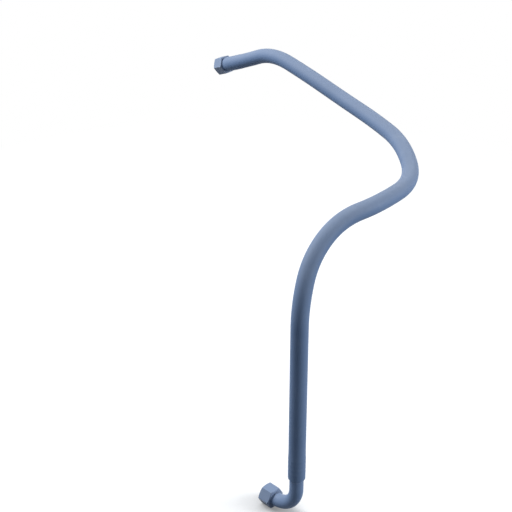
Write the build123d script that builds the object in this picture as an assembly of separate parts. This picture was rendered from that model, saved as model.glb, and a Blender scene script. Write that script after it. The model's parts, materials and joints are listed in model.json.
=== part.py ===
"""Push-on flexible hose with a swept elbow at its lower end and a straight tail at its upper end.

Millimetres, +Z up. The origin is on the axis of the lower union nut, where its full thread
starts, and that nut opens towards -X. The elbow turns the flow up into the hose, which climbs,
bends over to +Y, turns to -X and comes down a slope into the upper union nut.
"""
from build123d import *
import os
from math import cos, pi, radians, sin, tan

# Hose: rubber with a textile reinforcement, one moulded piece
HOSE_OD = 20.4
HOSE_ID = 12.7

# Where the hose runs: corners of the route between its two straight ends
LOWER_RUN = 239.0
UPPER_RUN = 40.0
ROUTE_CORNERS = [
    (40, 26, 338),
    (37, 75, 366),
    (43, 138, 365),
    (16, 235, 350),
    (-48, 289, 361),
    (-118, 320, 359),
    (-190, 337, 363),
    (-265, 346, 375),
    (-341, 356, 383),
]
BEND_SHARE = 0.45

# Upper union: where its full thread starts, and how far its mouth looks down from -X
UPPER_UNION = (-449.0, 357.0, 333.5)
UPPER_DIP = 23.0

# Union nuts with a half-inch parallel pipe thread
NUT_SIDES = 6
ACROSS_FLATS = 24.0
NUT_LENGTH = 16.8
NUT_FLANGE = 2.8
THREAD_MINOR_D = 18.63
THREAD_MAJOR_D = 20.955
THREAD_DEPTH = 7.9
LEAD_IN = 1.2
RELIEF_DEPTH = 0.1
CORNER_CHAMFER = 20.0
FACE_CIRCLE_SHARE = 0.95

# Flat gasket against the swivel head; both pass through the thread
GASKET_CLEARANCE = 0.1
GASKET_ID = 11.0
GASKET_THICKNESS = 2.0

# Swivel head: the flange that the nut pulls on, and the neck that the nut turns on
HEAD_CLEARANCE = 0.2
HEAD_THICKNESS = 2.6
HEAD_BORE = 11.0
SEAL_GROOVES = 2
SEAL_GROOVE_WIDTH = 0.5
SEAL_GROOVE_DEPTH = 0.3
NECK_D = 16.0
NECK_ROOT_FILLET = 0.2
SWIVEL_CLEARANCE = 0.25
SWIVEL_PLAY = 0.2
NUT_TO_SHOULDER = 0.4

# Swept elbow tube; its arc starts a little inside the nut, and the tube is cut off at the shoulder
ELBOW_OD = 17.0
ELBOW_WALL = 2.0
ELBOW_BEND = 36.0
BEND_BEFORE_SHOULDER = 2.0
ELBOW_TOP_STRAIGHT = 14.0
HEAD_PILOT = 1.5
PILOT_CLEARANCE = 0.2
SHANK_SPIGOT = 6.0
EDGE_BREAK = 0.4

# Barbed stems that the hose is pushed over
COLLAR_THICKNESS = 3.0
STEM_CLEARANCE = 0.15
STEM_WALL = 1.4
STEM_PLAIN = 8.6
BARBS = 4
BARB_GRIP = 0.75
BARB_RAMP = 5.6
CREST_LAND = 0.5
BARB_STEP = 0.5
STEM_TIP_CHAMFER = 0.6


def union_frame(thread_start, dip):
    """Local frame of a union: +Z runs from the thread into the fitting, +X lies along the row's +Y."""
    inward = (cos(radians(dip)), 0, sin(radians(dip)))
    return Plane(origin=thread_start, x_dir=(0, 1, 0), z_dir=inward)


LOWER_FRAME = union_frame((0, 0, 0), 0)
UPPER_FRAME = union_frame(UPPER_UNION, UPPER_DIP)

# Stations along a union's own axis, measured from where the full thread starts
NUT_MOUTH = -LEAD_IN
NUT_BACK = NUT_MOUTH + NUT_LENGTH
FLANGE_FACE = NUT_BACK - NUT_FLANGE
HEAD_BACK = FLANGE_FACE - SWIVEL_PLAY
HEAD_FACE = HEAD_BACK - HEAD_THICKNESS
GASKET_FACE = HEAD_FACE - GASKET_THICKNESS
SHOULDER = NUT_BACK + NUT_TO_SHOULDER

# Sizes that follow from a fit
HEAD_D = THREAD_MINOR_D - 2 * HEAD_CLEARANCE
GASKET_OD = THREAD_MINOR_D - 2 * GASKET_CLEARANCE
STEM_ROOT_D = HOSE_ID - 2 * STEM_CLEARANCE
STEM_CREST_D = HOSE_ID + 2 * BARB_GRIP
STEM_BORE = STEM_ROOT_D - 2 * STEM_WALL
BARB_LENGTH = BARB_STEP + CREST_LAND + BARB_RAMP
STEM_LENGTH = STEM_PLAIN + BARBS * BARB_LENGTH

# The elbow's riser: how far it stands from the origin, the tube's top and the hose's lower end
ELBOW_REACH = SHOULDER - BEND_BEFORE_SHOULDER + ELBOW_BEND
ELBOW_TOP = ELBOW_BEND + ELBOW_TOP_STRAIGHT
HOSE_START = ELBOW_TOP + COLLAR_THICKNESS


def revolved(points):
    """Solid turned about local Z from a closed outline of (radius, height) corners."""
    return revolve(Plane.XZ * make_face(Polyline(*points, close=True)), Axis.Z)


def seated(local_solid, frame):
    """A solid drawn about a union's own axis, moved to that union."""
    return frame.location * local_solid


def union_nut():
    """Hexagon nut: lead-in, thread bore, relief groove, then a flange that turns on the neck."""
    half_flats = ACROSS_FLATS / 2
    half_corners = half_flats / cos(pi / NUT_SIDES)
    face_circle = half_flats * FACE_CIRCLE_SHARE
    fall = (half_corners - face_circle) * tan(radians(CORNER_CHAMFER))
    hexagon = RegularPolygon(half_flats, NUT_SIDES, major_radius=False)
    blank = Pos(0, 0, NUT_MOUTH) * extrude(hexagon, NUT_LENGTH)
    turned = revolved([
        (0, NUT_MOUTH),
        (face_circle, NUT_MOUTH),
        (half_corners, NUT_MOUTH + fall),
        (half_corners, NUT_BACK - fall),
        (face_circle, NUT_BACK),
        (0, NUT_BACK),
    ])
    minor = THREAD_MINOR_D / 2
    relief = THREAD_MAJOR_D / 2 + RELIEF_DEPTH
    bore = revolved([
        (0, NUT_MOUTH),
        (minor + LEAD_IN, NUT_MOUTH),
        (minor, 0),
        (minor, THREAD_DEPTH),
        (relief, THREAD_DEPTH + relief - minor),
        (relief, FLANGE_FACE),
        (NECK_D / 2 + SWIVEL_CLEARANCE, FLANGE_FACE),
        (NECK_D / 2 + SWIVEL_CLEARANCE, NUT_BACK),
        (0, NUT_BACK),
    ])
    return (blank & turned) - bore


def gasket():
    """Flat sealing ring between the swivel head and the mating thread's end."""
    return revolved([
        (GASKET_ID / 2, GASKET_FACE),
        (GASKET_OD / 2, GASKET_FACE),
        (GASKET_OD / 2, HEAD_FACE),
        (GASKET_ID / 2, HEAD_FACE),
    ])


def head_and_neck(spigot_d, spigot_length, bore_d):
    """Swivel head with its neck and a spigot or stem root behind the shoulder."""
    solid = revolved([
        (0, HEAD_FACE),
        (HEAD_D / 2 - EDGE_BREAK, HEAD_FACE),
        (HEAD_D / 2, HEAD_FACE + EDGE_BREAK),
        (HEAD_D / 2, HEAD_BACK),
        (NECK_D / 2 + NECK_ROOT_FILLET, HEAD_BACK),
        (NECK_D / 2, HEAD_BACK + NECK_ROOT_FILLET),
        (NECK_D / 2, SHOULDER),
        (spigot_d / 2, SHOULDER),
        (spigot_d / 2, SHOULDER + spigot_length),
        (0, SHOULDER + spigot_length),
    ])
    solid -= Pos(0, 0, HEAD_FACE) * Cylinder(
        bore_d / 2, SHOULDER + spigot_length - HEAD_FACE, align=(Align.CENTER, Align.CENTER, Align.MIN)
    )
    return solid - seal_grooves()


def seal_grooves():
    """Turned rings in the head's face that bite into the gasket."""
    inner = HEAD_BORE / 2
    spacing = (HEAD_D / 2 - inner) / (SEAL_GROOVES + 1)
    rings = []
    for index in range(SEAL_GROOVES):
        middle = inner + spacing * (index + 1)
        rings.append(revolved([
            (middle - SEAL_GROOVE_WIDTH / 2, HEAD_FACE),
            (middle + SEAL_GROOVE_WIDTH / 2, HEAD_FACE),
            (middle, HEAD_FACE + SEAL_GROOVE_DEPTH),
        ]))
    return rings


def barbed_stem():
    """Outline of a stem from its shoulder at height 0 to its tip, as (radius, height) corners."""
    root = STEM_ROOT_D / 2
    crest = STEM_CREST_D / 2
    corners = [(root, 0)]
    for index in range(BARBS):
        base = STEM_PLAIN + index * BARB_LENGTH
        corners += [
            (root, base),
            (crest, base + BARB_STEP),
            (crest, base + BARB_STEP + CREST_LAND),
        ]
    corners += [(root, STEM_LENGTH - STEM_TIP_CHAMFER), (root - STEM_TIP_CHAMFER, STEM_LENGTH)]
    return corners


def stem(shoulder_height):
    """Hollow barbed stem standing on a shoulder at the given height."""
    outline = [(radius, shoulder_height + height) for radius, height in barbed_stem()]
    tip = shoulder_height + STEM_LENGTH
    return revolved([(0, shoulder_height)] + outline + [(0, tip)]) - stem_bore(shoulder_height)


def stem_bore(shoulder_height):
    """Waterway through a stem."""
    return Pos(0, 0, shoulder_height) * Cylinder(
        STEM_BORE / 2, STEM_LENGTH, align=(Align.CENTER, Align.CENTER, Align.MIN)
    )


def elbow_swivel_head():
    """Turned head; the elbow's end is brazed to its shoulder, round a short pilot."""
    pilot_d = ELBOW_OD - 2 * ELBOW_WALL - 2 * PILOT_CLEARANCE
    return head_and_neck(pilot_d, HEAD_PILOT, HEAD_BORE)


def straight_tail():
    """Upper fitting, turned in one piece: head, neck and barbed stem."""
    tail = head_and_neck(STEM_ROOT_D, STEM_TIP_CHAMFER, STEM_BORE) + stem(SHOULDER)
    mouth = revolved([
        (0, HEAD_FACE),
        (HEAD_BORE / 2, HEAD_FACE),
        (STEM_BORE / 2, HEAD_FACE + (HEAD_BORE - STEM_BORE) / 2),
        (0, HEAD_FACE + (HEAD_BORE - STEM_BORE) / 2),
    ])
    return tail - mouth


def elbow_tube():
    """Tube bent through a right angle, from the swivel head up to the shank's collar."""
    corners = [(HEAD_BACK, 0, 0), (ELBOW_REACH, 0, 0), (ELBOW_REACH, 0, ELBOW_TOP)]
    path = FilletPolyline(*corners, radius=ELBOW_BEND)
    start = Plane(origin=corners[0], x_dir=(0, 1, 0), z_dir=(1, 0, 0))
    outer = sweep(start * Circle(ELBOW_OD / 2), path=path)
    inner = sweep(start * Circle(ELBOW_OD / 2 - ELBOW_WALL), path=path)
    return split(outer - inner, Plane(origin=(SHOULDER, 0, 0), z_dir=(1, 0, 0)), keep=Keep.TOP)


def elbow_shank():
    """Barbed shank brazed into the elbow's upper end; the hose stops on its collar."""
    spigot_d = ELBOW_OD - 2 * ELBOW_WALL
    low = -COLLAR_THICKNESS - SHANK_SPIGOT
    body = revolved([
        (0, low),
        (spigot_d / 2, low),
        (spigot_d / 2, -COLLAR_THICKNESS),
        (ELBOW_OD / 2, -COLLAR_THICKNESS),
        (ELBOW_OD / 2, 0),
        (0, 0),
    ])
    body -= Pos(0, 0, low) * Cylinder(STEM_BORE / 2, -low, align=(Align.CENTER, Align.CENTER, Align.MIN))
    return Pos(ELBOW_REACH, 0, HOSE_START) * (body + stem(0))


def hose_route():
    """Corners of the hose's centre line, from the elbow's collar to the upper tail's shoulder."""
    lower_end = Vector(ELBOW_REACH, 0, HOSE_START)
    upper_end = UPPER_FRAME.from_local_coords(Vector(0, 0, SHOULDER))
    first_corner = lower_end + Vector(0, 0, LOWER_RUN)
    last_corner = UPPER_FRAME.from_local_coords(Vector(0, 0, SHOULDER + UPPER_RUN))
    return [lower_end, first_corner] + [Vector(*corner) for corner in ROUTE_CORNERS] + [last_corner, upper_end]


def bend_radii(route):
    """Radius at each corner: as large as its shorter run allows."""
    radii = []
    for before, corner, after in zip(route, route[1:], route[2:]):
        into = corner - before
        out_of = after - corner
        half_turn = radians(into.get_angle(out_of)) / 2
        radii.append(BEND_SHARE * min(into.length, out_of.length) / tan(half_turn))
    return radii


def hose():
    """Hose swept along its route, widened at both ends where it is stretched over the barbs."""
    route = hose_route()
    radii = bend_radii(route)
    path = FilletPolyline(*route, radius=radii)
    start = Plane(origin=route[0], z_dir=route[1] - route[0])
    tube = sweep(start * Circle(HOSE_OD / 2), path=path) - sweep(start * Circle(HOSE_ID / 2), path=path)
    section = pi * (HOSE_OD**2 - HOSE_ID**2) / 4
    print("hose bend radii", [round(radius) for radius in radii])
    print("hose length", round(path.length, 1), "volume over section times length",
          round(tube.volume / (section * path.length), 4))
    socket = Cylinder(STEM_CREST_D / 2, STEM_LENGTH, align=(Align.CENTER, Align.CENTER, Align.MIN))
    lower_socket = Pos(*route[0]) * socket
    upper_socket = UPPER_FRAME.location * (Pos(0, 0, SHOULDER) * socket)
    return tube - lower_socket - upper_socket


def build_parts():
    """Every piece by its node name."""
    return {
        "hose": hose(),
        "elbow_tube": elbow_tube(),
        "elbow_shank": elbow_shank(),
        "elbow_swivel_head": seated(elbow_swivel_head(), LOWER_FRAME),
        "lower_union_nut": seated(union_nut(), LOWER_FRAME),
        "lower_gasket": seated(gasket(), LOWER_FRAME),
        "straight_tail": seated(straight_tail(), UPPER_FRAME),
        "upper_union_nut": seated(union_nut(), UPPER_FRAME),
        "upper_gasket": seated(gasket(), UPPER_FRAME),
    }


os.makedirs("parts", exist_ok=True)
for node, solid in build_parts().items():
    export_step(solid, f"parts/{node}.step")
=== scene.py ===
import json
from math import atan2, cos, hypot, pi, radians, sin, tan

import bpy
import numpy as np
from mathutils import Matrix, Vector

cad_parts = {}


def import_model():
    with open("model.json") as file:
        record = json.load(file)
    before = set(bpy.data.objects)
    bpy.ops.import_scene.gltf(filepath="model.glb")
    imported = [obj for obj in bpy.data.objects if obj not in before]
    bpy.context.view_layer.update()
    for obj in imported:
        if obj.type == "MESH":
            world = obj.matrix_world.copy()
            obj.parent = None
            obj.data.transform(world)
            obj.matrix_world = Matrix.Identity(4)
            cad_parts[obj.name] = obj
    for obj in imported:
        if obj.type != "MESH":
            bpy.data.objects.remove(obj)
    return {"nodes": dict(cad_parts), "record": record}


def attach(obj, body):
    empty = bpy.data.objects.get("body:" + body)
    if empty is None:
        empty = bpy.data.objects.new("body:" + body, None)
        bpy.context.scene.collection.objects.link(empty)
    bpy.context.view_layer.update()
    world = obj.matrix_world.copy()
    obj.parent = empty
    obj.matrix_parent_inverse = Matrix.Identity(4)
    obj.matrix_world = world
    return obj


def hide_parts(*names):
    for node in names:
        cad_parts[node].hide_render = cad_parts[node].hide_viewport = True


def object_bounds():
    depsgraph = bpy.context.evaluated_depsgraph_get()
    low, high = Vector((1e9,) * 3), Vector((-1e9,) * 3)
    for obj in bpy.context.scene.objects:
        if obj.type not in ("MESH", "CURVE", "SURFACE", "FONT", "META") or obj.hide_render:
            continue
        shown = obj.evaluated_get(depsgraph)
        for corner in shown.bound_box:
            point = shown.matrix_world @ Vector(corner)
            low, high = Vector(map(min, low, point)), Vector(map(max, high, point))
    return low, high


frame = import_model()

CAD_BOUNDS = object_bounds()
MM = 0.001

# Unions: the place and outward direction of each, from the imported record
MOUNTS = {mount["name"]: mount for mount in frame["record"]["mounts"]}
THREAD_MINOR_R = MOUNTS["lower_union"]["dims"]["r_mm"] * MM
THREAD_LENGTH = MOUNTS["lower_union"]["dims"]["length_mm"] * MM

# Thread: 14 turns to the inch, in the 55 degree form
THREAD_PITCH = 25.4 / 14 * MM
THREAD_SHARP_HEIGHT = 0.960491 * THREAD_PITCH
THREAD_DEPTH = 0.640327 * THREAD_PITCH
STEPS_IN_PITCH = 14

# Stations along a union's axis, from where its full thread starts
LEAD_IN = 1.2 * MM
FLANGE_FACE = 12.8 * MM
NUT_BACK = 15.6 * MM
SHOULDER = 16 * MM

# Nut
NUT_SIDES = 6
ACROSS_FLATS = 24 * MM
FACE_CIRCLE_R = 11.4 * MM
CORNER_CHAMFER = radians(20)
CORNER_ROUND = 0.4 * MM
EDGE_ROUND = 0.3 * MM
FLANGE_BORE_R = 8.25 * MM
RELIEF_R = 10.5775 * MM
POINTS_ACROSS_FLAT = 15
FLAT_SHARE = 0.9

# Hose
HOSE_R = 10.2 * MM
HOSE_BORE_R = 6.35 * MM
HOSE_SOCKET_R = 7.1 * MM
HOSE_EDGE = 0.5 * MM
HOSE_SEGMENTS = 64
UPPER_RUN = 40 * MM
FINE_STEP = 0.5 * MM
FINE_STEPS = 80
COARSE_STEP = 2.5 * MM

# Swell of the hose over the barbed stem inside it
STEM_LENGTH = 35 * MM
STEM_SWELL = 0.22 * MM
STEM_END_BLEND = 1.5 * MM
BARBS = 4
FIRST_BARB = 10 * MM
BARB_SPACING = 6.6 * MM
BARB_SWELL = 0.12 * MM
BARB_REACH = 1.7 * MM

# Braid under the cover, in the neutral angle of a pressure hose
BRAID_STRANDS = 24
BRAID_ANGLE = radians(54.7)

# Elbow
ELBOW_REACH = 50 * MM
ELBOW_TOP = 50 * MM
ELBOW_R = 8.5 * MM

# Bead of braze: its height, its flatness and its ripples as (lobes, share, phase)
BRAZE_BEAD = 0.55 * MM
BEAD_SINK = 0.15 * MM
BEAD_FLATNESS = 0.7
BEAD_RIPPLES = ((3, 0.08, 0), (7, 0.05, 1))
BEAD_STEPS = 96
BEAD_SECTION = 12

# Route of the hose between its two fittings, with one point more on the long upright run
HOSE_ROUTE = [
    (0.050, 0.000, 0.053),
    (0.050, 0.000, 0.236),
    (0.050, 0.000, 0.292),
    (0.040, 0.026, 0.338),
    (0.037, 0.075, 0.366),
    (0.043, 0.138, 0.365),
    (0.016, 0.235, 0.350),
    (-0.048, 0.289, 0.361),
    (-0.118, 0.320, 0.359),
    (-0.190, 0.337, 0.363),
    (-0.265, 0.346, 0.375),
    (-0.341, 0.356, 0.383),
]

# Camera, as the photograph was taken
CAMERA_AZIMUTH = radians(45)
CAMERA_ELEVATION = radians(29.864)
CAMERA_PLACE = (0.853161, -0.871136, 1.035075)
CAMERA_LENS = 90.03
CAMERA_SENSOR = 36
CAMERA_REACH = 20

# Soft square lamps: name, place, size in metres and power in watts
LAMPS = (
    ("key", (-1.67, -0.66, 1.87), 1.4, 60),
    ("side", (1.74, 1.33, 1.10), 1.3, 38),
)
LAMP_TARGET = (-0.15, 0.15, 0.2)
WORLD_LIGHT = 0.2

# Floor: near the object it takes the shadow, with a shade also painted into its colour where the
# object is close, and beyond a fade it is plain white
FLOOR_MIDDLE = (-0.2, 0.18, -0.012)
FLOOR_HALF = 6
FLOOR_GAP = 0.1 * MM
FLOOR_FADE = (0.5, 0.9)
FLOOR_GLOW = 0.2
PAINTED_SHADE_REACH = 0.17
PAINTED_SHADE_RANGE = (0.3, 0.98)

# Wear at sharp edges: how far it reaches, and how sharp an edge it starts and is full at
WEAR_REACH = 0.6 * MM
WEAR_RANGE = (0.008, 0.06)

# Colours, linear
SLATE = (0.146, 0.234, 0.415, 1)
SLATE_DARK = (0.124, 0.203, 0.370, 1)
SLATE_LIGHT = (0.175, 0.270, 0.462, 1)
SLATE_WORN = (0.36, 0.44, 0.58, 1)
PAINT_WORN = (0.47, 0.54, 0.64, 1)
# Pale dust; on upward faces it is also a painted top light
DUST_AND_TOP_LIGHT = (0.52, 0.54, 0.56, 1)
GASKET_BLACK = (0.022, 0.022, 0.024, 1)
GASKET_GREY = (0.045, 0.045, 0.048, 1)
FLOOR_BOUNCE = (0.12, 0.12, 0.12, 1)
# Darkest colour of the shade painted into the floor under the object
FLOOR_PAINTED_SHADE = (0.3, 0.3, 0.3, 1)
FLOOR_PALE = (0.92, 0.92, 0.92, 1)
WORLD_FILL = (0.78, 0.88, 1, 1)
WHITE = (1, 1, 1, 1)


def feed(tree, socket, value):
    """Gives an input its value, or links it to another node's output."""
    if isinstance(value, bpy.types.NodeSocket):
        tree.links.new(value, socket)
    else:
        socket.default_value = value


def add(tree, kind, inputs=(), **settings):
    """A node with its settings; its inputs are values or other nodes' outputs."""
    made = tree.nodes.new(kind)
    for name, value in settings.items():
        setattr(made, name, value)
    for name, value in dict(inputs).items():
        feed(tree, made.inputs[name], value)
    return made


def cleared_tree(block):
    """The node tree of a material or world, with nothing in it."""
    block.use_nodes = True
    block.node_tree.nodes.clear()
    return block.node_tree


def new_material(name):
    """A material with a bare Principled shader: its tree, shader and object coordinates."""
    material = bpy.data.materials.new(name)
    tree = cleared_tree(material)
    shader = add(tree, "ShaderNodeBsdfPrincipled")
    add(tree, "ShaderNodeOutputMaterial", {"Surface": shader.outputs["BSDF"]})
    place = add(tree, "ShaderNodeTexCoord").outputs["Object"]
    return material, tree, shader, place


def noise(tree, place, scale, detail=3.0, roughness=0.55):
    """Noise over a place, scale in cells for each metre."""
    return add(tree, "ShaderNodeTexNoise", {
        "Vector": place, "Scale": scale, "Detail": detail, "Roughness": roughness,
    }).outputs["Fac"]


def spread(tree, value, low, high):
    """A value from 0 to 1, spread between two others."""
    return add(tree, "ShaderNodeMapRange", {
        "Value": value, "To Min": low, "To Max": high,
    }).outputs["Result"]


def sharpened(tree, value, low, high):
    """A value that rises from 0 to 1 between two limits."""
    return add(tree, "ShaderNodeMapRange", {
        "Value": value, "From Min": low, "From Max": high,
    }).outputs["Result"]


def blended(tree, share, first, second):
    """One colour turning into another."""
    mix = add(tree, "ShaderNodeMix", data_type="RGBA")
    for name, value in (("Factor", share), ("A", first), ("B", second)):
        feed(tree, next(each for each in mix.inputs if each.name == name and each.enabled), value)
    return next(each for each in mix.outputs if each.enabled)


def calculate(tree, operation, first, second=0.0):
    """A sum on two values."""
    return add(tree, "ShaderNodeMath", {0: first, 1: second}, operation=operation).outputs["Value"]


def bump(tree, height, strength, distance, **under):
    """A normal that follows a height, on top of the normal under it."""
    return add(tree, "ShaderNodeBump", {
        "Height": height, "Strength": strength, "Distance": distance, **under,
    }).outputs["Normal"]


def mixed_shader(tree, share, first, second):
    """One shader turning into another."""
    return add(tree, "ShaderNodeMixShader", {"Fac": share, 1: first, 2: second}).outputs["Shader"]


def seen(tree):
    """1 where the camera, a reflection or glass looks, and 0 where light is gathered."""
    rays = add(tree, "ShaderNodeLightPath").outputs
    either = calculate(tree, "MAXIMUM", rays["Is Camera Ray"], rays["Is Glossy Ray"])
    return calculate(tree, "MAXIMUM", either, rays["Is Transmission Ray"])


def dust_and_painted_top_light(tree, colour, share):
    """A colour under fine dust that settles on upper sides, and a painted top light: the more a side
    faces up, the paler it is painted.
    """
    facing = add(tree, "ShaderNodeSeparateXYZ", {
        "Vector": add(tree, "ShaderNodeTexCoord").outputs["Normal"],
    }).outputs["Z"]
    dust_and_top_light_share = calculate(tree, "MULTIPLY", sharpened(tree, facing, -0.1, 1), share)
    return blended(tree, dust_and_top_light_share, colour, DUST_AND_TOP_LIGHT)


def worn_edges(tree):
    """A value that rises to 1 at sharp edges, whatever the mesh."""
    rounded_normal = add(
        tree, "ShaderNodeBevel", {"Radius": WEAR_REACH}, samples=8,
    ).outputs["Normal"]
    plain_normal = add(tree, "ShaderNodeNewGeometry").outputs["Normal"]
    alike = add(
        tree, "ShaderNodeVectorMath", {0: rounded_normal, 1: plain_normal}, operation="DOT_PRODUCT",
    ).outputs["Value"]
    return sharpened(tree, calculate(tree, "SUBTRACT", 1, alike), *WEAR_RANGE)


def braid_height(tree):
    """Height of the braid: two sets of strands that cross, in turns round and along the hose."""
    turns = add(tree, "ShaderNodeSeparateXYZ", {
        "Vector": add(tree, "ShaderNodeUVMap").outputs["UV"],
    }).outputs
    lean = calculate(tree, "MULTIPLY", turns["Y"], tan(BRAID_ANGLE))
    strands = []
    for hand in ("ADD", "SUBTRACT"):
        around = calculate(tree, hand, turns["X"], lean)
        phase = calculate(tree, "MULTIPLY", around, 2 * pi * BRAID_STRANDS)
        strands.append(calculate(tree, "SINE", phase))
    return calculate(tree, "MAXIMUM", *strands)


def hose_rubber():
    """Smooth slate-blue cover, with the braid under it just showing through."""
    material, tree, shader, place = new_material("hose_rubber")
    colour = blended(tree, noise(tree, place, 14, detail=4), SLATE_DARK, SLATE_LIGHT)
    bloom = sharpened(tree, noise(tree, place, 55, detail=5, roughness=0.65), 0.52, 0.78)
    colour = blended(tree, spread(tree, bloom, 0, 0.16), colour, SLATE_WORN)
    # Dust with a painted top light: the cover is painted paler the more it faces up
    colour = dust_and_painted_top_light(tree, colour, spread(tree, noise(tree, place, 30, detail=5), 0.2, 0.36))
    braid = bump(tree, braid_height(tree), 0.35, 0.05 * MM)
    skin = bump(tree, noise(tree, place, 900, detail=2), 0.4, 0.06 * MM, Normal=braid)
    feed(tree, shader.inputs["Base Color"], colour)
    feed(tree, shader.inputs["Roughness"], spread(tree, noise(tree, place, 60), 0.5, 0.66))
    feed(tree, shader.inputs["Specular IOR Level"], 0.15)
    feed(tree, shader.inputs["Normal"], skin)
    return material


def fitting_paint(name, turns=False):
    """Slate-blue satin coat on steel, rubbed at its edges; a piece that turns has dust all round,
    and a fixed piece has dust with a painted top light on its upper sides.
    """
    material, tree, shader, place = new_material(name)
    colour = blended(tree, noise(tree, place, 90, detail=4), SLATE, SLATE_LIGHT)
    patches = sharpened(tree, noise(tree, place, 420), 0.3, 0.7)
    rubbed = calculate(tree, "MULTIPLY", worn_edges(tree), patches)
    colour = blended(tree, rubbed, colour, PAINT_WORN)
    dust_and_top_light_noise = noise(tree, place, 120, detail=4)
    if turns:
        colour = blended(tree, spread(tree, dust_and_top_light_noise, 0.16, 0.3), colour, DUST_AND_TOP_LIGHT)
    else:
        # Dust with a painted top light: a fixed piece is painted paler the more it faces up
        colour = dust_and_painted_top_light(tree, colour, spread(tree, dust_and_top_light_noise, 0.12, 0.3))
    peel = bump(tree, noise(tree, place, 700, detail=2), 0.25, 0.05 * MM)
    feed(tree, shader.inputs["Base Color"], colour)
    feed(tree, shader.inputs["Roughness"], spread(tree, noise(tree, place, 250), 0.42, 0.54))
    feed(tree, shader.inputs["Specular IOR Level"], 0.2)
    feed(tree, shader.inputs["Normal"], peel)
    return material


def gasket_rubber():
    """Dark sheet rubber."""
    material, tree, shader, place = new_material("gasket_rubber")
    colour = blended(tree, noise(tree, place, 600, detail=4), GASKET_BLACK, GASKET_GREY)
    grain = bump(tree, noise(tree, place, 1400, detail=2), 0.3, 0.03 * MM)
    feed(tree, shader.inputs["Base Color"], colour)
    feed(tree, shader.inputs["Roughness"], spread(tree, noise(tree, place, 300), 0.62, 0.78))
    feed(tree, shader.inputs["Normal"], grain)
    return material


def grid_mesh(name, grid, material, marks=None):
    """A closed mesh from rows of points, with each row and each column closed round.

    Marks, one for each row, give the mesh coordinates: turns round, and the row's mark.
    """
    rows, columns = grid.shape[:2]
    faces = []
    corners_uv = []
    for below in range(rows):
        above = (below + 1) % rows
        for column in range(columns):
            beside = (column + 1) % columns
            faces.append((
                below * columns + column, below * columns + beside,
                above * columns + beside, above * columns + column,
            ))
            if marks is not None:
                left, right = column / columns, (column + 1) / columns
                corners_uv += [
                    (left, marks[below]), (right, marks[below]),
                    (right, marks[above]), (left, marks[above]),
                ]
    mesh = bpy.data.meshes.new(name)
    mesh.from_pydata(grid.reshape(-1, 3).tolist(), [], faces)
    if marks is not None:
        layer = mesh.uv_layers.new(name="UVMap")
        layer.data.foreach_set("uv", np.array(corners_uv, dtype=np.float32).ravel())
    mesh.validate()
    mesh.shade_smooth()
    mesh.materials.append(material)
    return placed(name, mesh)


def placed(name, content):
    """An object in the scene that holds a mesh, curve, lamp or camera."""
    holder = bpy.data.objects.new(name, content)
    bpy.context.scene.collection.objects.link(holder)
    return holder


def union_axes(mount):
    """Origin and local axes of a union: across, up and inward along its axis."""
    inward = -np.array(mount["axis"]) / np.linalg.norm(mount["axis"])
    across = np.array((0, 1, 0))
    return np.array(mount["pos_m"]), across, np.cross(inward, across), inward


def rounded(corners, radius, steps=3):
    """A chain of (radius, height) corners with the inner ones rounded."""
    points = [corners[0]]
    for before, corner, after in zip(corners, corners[1:], corners[2:]):
        before, corner, after = (np.array(point) for point in (before, corner, after))
        into = (corner - before) / np.linalg.norm(corner - before)
        out_of = (after - corner) / np.linalg.norm(after - corner)
        turn = atan2(abs(into[0] * out_of[1] - into[1] * out_of[0]), into @ out_of)
        reach = radius * tan(turn / 2)
        start = corner - into * reach
        end = corner + out_of * reach
        for step in range(steps + 1):
            share = step / steps
            point = (1 - share) ** 2 * start + 2 * share * (1 - share) * corner + share**2 * end
            points.append(tuple(point))
    points.append(corners[-1])
    return points


def hexagon_outline():
    """Points round a hexagon with rounded corners, as (radius, angle)."""
    inner_corner = (ACROSS_FLATS / 2 - CORNER_ROUND) / cos(pi / NUT_SIDES)
    half_flat = ACROSS_FLATS / 2 * tan(pi / NUT_SIDES)
    outline = []
    for side in range(NUT_SIDES):
        corner_angle = 2 * pi * side / NUT_SIDES
        for share in (-1, -0.5, 0, 0.5, 1):
            turn = corner_angle + share * pi / NUT_SIDES
            x = inner_corner * cos(corner_angle) + CORNER_ROUND * cos(turn)
            y = inner_corner * sin(corner_angle) + CORNER_ROUND * sin(turn)
            outline.append((hypot(x, y), atan2(y, x)))
        flat_angle = corner_angle + pi / NUT_SIDES
        for share in np.linspace(-FLAT_SHARE, FLAT_SHARE, POINTS_ACROSS_FLAT):
            x = ACROSS_FLATS / 2
            y = half_flat * share
            outline.append((hypot(x, y), flat_angle + atan2(y, x)))
    return outline


def thread_radius(station, angle):
    """Radius of the threaded bore, with its lead-in and its run-out into the relief."""
    turn = (station / THREAD_PITCH - angle / (2 * pi)) % 1
    flank = THREAD_SHARP_HEIGHT * abs(2 * turn - 1) - THREAD_SHARP_HEIGHT / 6
    groove = min(max(flank, 0), THREAD_DEPTH)
    lead_in = max(-station, 0)
    run_out = max(station - THREAD_LENGTH, 0)
    return THREAD_MINOR_R + max(groove, lead_in, run_out)


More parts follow.
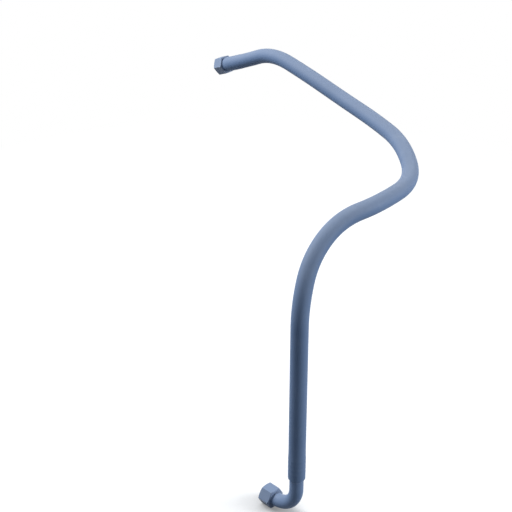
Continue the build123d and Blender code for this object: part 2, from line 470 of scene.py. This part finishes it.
def union_nut(name, mount, material):
    """Hexagon nut with chamfered faces and a real thread, standing for a plain CAD nut."""
    origin, across, up, inward = union_axes(mount)
    mouth = -LEAD_IN
    run_out_end = THREAD_LENGTH + RELIEF_R - THREAD_MINOR_R
    thread_stations = np.arange(run_out_end, mouth, -THREAD_PITCH / STEPS_IN_PITCH)[1:]
    columns = []
    for reach, angle in hexagon_outline():
        fall = (reach - FACE_CIRCLE_R) * tan(CORNER_CHAMFER)
        outside = rounded([
            (THREAD_MINOR_R + LEAD_IN, mouth),
            (FACE_CIRCLE_R, mouth),
            (reach, mouth + fall),
            (reach, NUT_BACK - fall),
            (FACE_CIRCLE_R, NUT_BACK),
            (FLANGE_BORE_R, NUT_BACK),
            (FLANGE_BORE_R, FLANGE_FACE),
            (RELIEF_R, FLANGE_FACE),
            (RELIEF_R, run_out_end),
        ], EDGE_ROUND)
        inside = [(thread_radius(station, angle), station) for station in thread_stations]
        columns.append([
            origin + radius * (cos(angle) * across + sin(angle) * up) + station * inward
            for radius, station in outside + inside
        ])
    nut = grid_mesh(name, np.array(columns).transpose(1, 0, 2), material)
    flatten = nut.modifiers.new("flat_faces", "WEIGHTED_NORMAL")
    flatten.weight = 90
    return nut


def hose_line(upper):
    """The hose's centre line: points read from one smooth curve through its route."""
    origin, across, up, inward = union_axes(upper)
    last_corner = origin + (SHOULDER + UPPER_RUN) * inward
    upper_end = origin + SHOULDER * inward
    route = HOSE_ROUTE + [tuple(last_corner), tuple(upper_end)]
    curve = bpy.data.curves.new("hose_line", "CURVE")
    curve.dimensions = "3D"
    curve.resolution_u = 48
    spline = curve.splines.new("NURBS")
    spline.points.add(len(route) - 1)
    for point, place in zip(spline.points, route):
        point.co = (*place, 1)
    spline.order_u = 3
    spline.use_endpoint_u = True
    holder = placed("hose_line", curve)
    bpy.context.view_layer.update()
    mesh = bpy.data.meshes.new_from_object(holder)
    line = np.array([vertex.co[:] for vertex in mesh.vertices])
    bpy.data.meshes.remove(mesh)
    bpy.data.objects.remove(holder)
    return line


def swell(distance):
    """How far the hose stands proud of its plain radius, from the end it is pushed over."""
    total = STEM_SWELL / (1 + np.exp((distance - STEM_LENGTH) / STEM_END_BLEND))
    for barb in range(BARBS):
        offset = (distance - FIRST_BARB - barb * BARB_SPACING) / BARB_REACH
        total = total + BARB_SWELL * np.exp(-offset**2)
    return total


def hose(line, material):
    """Hose as a tube with cut ends, a bore, and a slight swell over the barbs at both ends."""
    steps = np.linalg.norm(np.diff(line, axis=0), axis=1)
    along = np.concatenate([[0], np.cumsum(steps)])
    length = along[-1]
    fine_reach = FINE_STEPS * FINE_STEP
    stations = np.concatenate([
        np.arange(FINE_STEPS) * FINE_STEP,
        np.arange(fine_reach, length - fine_reach, COARSE_STEP),
        length - np.arange(FINE_STEPS, -1, -1) * FINE_STEP,
    ])
    centres = np.stack([np.interp(stations, along, line[:, axis]) for axis in range(3)], 1)
    tangents = np.gradient(centres, axis=0)
    tangents /= np.linalg.norm(tangents, axis=1)[:, None]
    side = np.cross(tangents[0], (0, -1, 0))
    sides = []
    for tangent in tangents:
        side = side - (side @ tangent) * tangent
        side = side / np.linalg.norm(side)
        sides.append(side)
    sides = np.array(sides)
    fronts = np.cross(tangents, sides)

    from_end = np.minimum(stations, length - stations)
    edge = np.clip(1 - from_end / HOSE_EDGE, 0, 1)
    radii = HOSE_R + swell(stations) + swell(length - stations)
    radii -= HOSE_EDGE * (1 - np.sqrt(1 - edge**2))
    bores = np.where(from_end <= STEM_LENGTH, HOSE_SOCKET_R, HOSE_BORE_R)

    angles = np.arange(HOSE_SEGMENTS) / HOSE_SEGMENTS * 2 * pi
    across = np.cos(angles)[None, :, None] * sides[:, None]
    ring = across + np.sin(angles)[None, :, None] * fronts[:, None]
    outer = centres[:, None] + radii[:, None, None] * ring
    inner = centres[:, None] + bores[:, None, None] * ring
    grid = np.concatenate([outer, inner[::-1]])
    circumference = 2 * pi * HOSE_R
    marks = np.concatenate([stations, stations[::-1]]) / circumference
    return grid_mesh("hose_cover", grid, material, marks=marks)


def braze_bead(material):
    """Bead of braze round the seam between the elbow tube and the shank's collar."""
    rows = []
    for step in range(BEAD_STEPS):
        angle = 2 * pi * step / BEAD_STEPS
        ripple = sum(share * sin(lobes * angle + phase) for lobes, share, phase in BEAD_RIPPLES)
        bead = BRAZE_BEAD * (1 + ripple)
        row = []
        for part in range(BEAD_SECTION):
            turn = -2 * pi * part / BEAD_SECTION
            reach = ELBOW_R - BEAD_SINK + bead * BEAD_FLATNESS * cos(turn)
            height = ELBOW_TOP + bead * sin(turn)
            row.append((ELBOW_REACH + reach * cos(angle), reach * sin(angle), height))
        rows.append(row)
    return grid_mesh("braze_bead", np.array(rows), material)


def floor_material():
    """Floor that looks white but for the object's own shadow and a contact shade painted into its
    colour under the object, and that lights it only dimly.
    """
    material = bpy.data.materials.new("floor")
    tree = cleared_tree(material)
    place = add(tree, "ShaderNodeTexCoord").outputs["Object"]
    distance = add(
        tree, "ShaderNodeVectorMath", {0: place, 1: FLOOR_MIDDLE}, operation="DISTANCE",
    ).outputs["Value"]
    # Painted shade: the floor's colour darkens where the object is near and hides it, on top of the
    # real shadow
    openness = add(
        tree, "ShaderNodeAmbientOcclusion", {"Distance": PAINTED_SHADE_REACH}, samples=16,
    ).outputs["AO"]
    colour_with_painted_shade = blended(tree, sharpened(tree, openness, *PAINTED_SHADE_RANGE), FLOOR_PAINTED_SHADE, FLOOR_PALE)
    pale = add(tree, "ShaderNodeBsdfDiffuse", {"Color": colour_with_painted_shade}).outputs["BSDF"]
    glow = add(tree, "ShaderNodeEmission", {"Color": WHITE, "Strength": FLOOR_GLOW})
    near = add(tree, "ShaderNodeAddShader", {0: pale, 1: glow.outputs["Emission"]})
    far = add(tree, "ShaderNodeEmission", {"Color": WHITE, "Strength": 1.0})
    fade = sharpened(tree, distance, *FLOOR_FADE)
    shown = mixed_shader(tree, fade, near.outputs["Shader"], far.outputs["Emission"])
    bounce = add(tree, "ShaderNodeBsdfDiffuse", {"Color": FLOOR_BOUNCE}).outputs["BSDF"]
    surface = mixed_shader(tree, seen(tree), bounce, shown)
    add(tree, "ShaderNodeOutputMaterial", {"Surface": surface})
    return material


def floor():
    """Wide flat floor just under the lowest point."""
    height = CAD_BOUNDS[0][2] - FLOOR_GAP
    corners = [(-1, -1), (1, -1), (1, 1), (-1, 1)]
    mesh = bpy.data.meshes.new("floor")
    mesh.from_pydata(
        [(x * FLOOR_HALF, y * FLOOR_HALF, height) for x, y in corners], [], [(0, 1, 2, 3)],
    )
    mesh.materials.append(floor_material())
    placed("floor", mesh)


def area_light(name, place, size, power):
    """Square soft lamp, aimed at the middle of the part."""
    light = bpy.data.lights.new(name, "AREA")
    light.size = size
    light.energy = power
    lamp = placed(name, light)
    lamp.location = place
    aim = Vector(LAMP_TARGET) - Vector(place)
    lamp.rotation_euler = aim.to_track_quat("-Z", "Y").to_euler()


def world():
    """White to the camera and to reflections, dim and even as light."""
    made = bpy.data.worlds.new("studio")
    tree = cleared_tree(made)
    shown = seen(tree)
    back = add(tree, "ShaderNodeBackground", {
        "Color": blended(tree, shown, WORLD_FILL, WHITE),
        "Strength": spread(tree, shown, WORLD_LIGHT, 1.0),
    })
    add(tree, "ShaderNodeOutputWorld", {"Surface": back.outputs["Background"]})
    bpy.context.scene.world = made


def studio():
    """Camera, lamps, world and floor."""
    camera = bpy.data.cameras.new("camera")
    camera.lens = CAMERA_LENS
    camera.sensor_width = CAMERA_SENSOR
    camera.clip_end = CAMERA_REACH
    holder = placed("camera", camera)
    holder.location = CAMERA_PLACE
    holder.rotation_euler = (pi / 2 - CAMERA_ELEVATION, 0, CAMERA_AZIMUTH)
    bpy.context.scene.camera = holder
    for lamp in LAMPS:
        area_light(*lamp)
    world()
    floor()
    bpy.context.scene.view_settings.view_transform = "Standard"


def dress_cad(material_of):
    """CAD nodes whose shape is right, given their finished materials."""
    for node, material in material_of.items():
        for slot in frame["nodes"][node].material_slots:
            slot.material = material


rubber = hose_rubber()
paint = fitting_paint("fitting_paint")
nut_paint = fitting_paint("nut_paint", turns=True)
seal = gasket_rubber()

line = hose_line(MOUNTS["upper_union"])
hose_cover = hose(line, rubber)
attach(hose_cover, "hose_assembly")
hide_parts("hose")

for nut_name, union, body in (
    ("lower_nut_threaded", "lower_union", "lower_nut"),
    ("upper_nut_threaded", "upper_union", "upper_nut"),
):
    nut = union_nut(nut_name, MOUNTS[union], nut_paint)
    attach(nut, body)
    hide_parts(body.replace("_nut", "_union_nut"))

bead = braze_bead(paint)
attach(bead, "hose_assembly")

dress_cad({
    "elbow_tube": paint,
    "elbow_shank": paint,
    "elbow_swivel_head": paint,
    "straight_tail": paint,
    "lower_gasket": seal,
    "upper_gasket": seal,
})

studio()
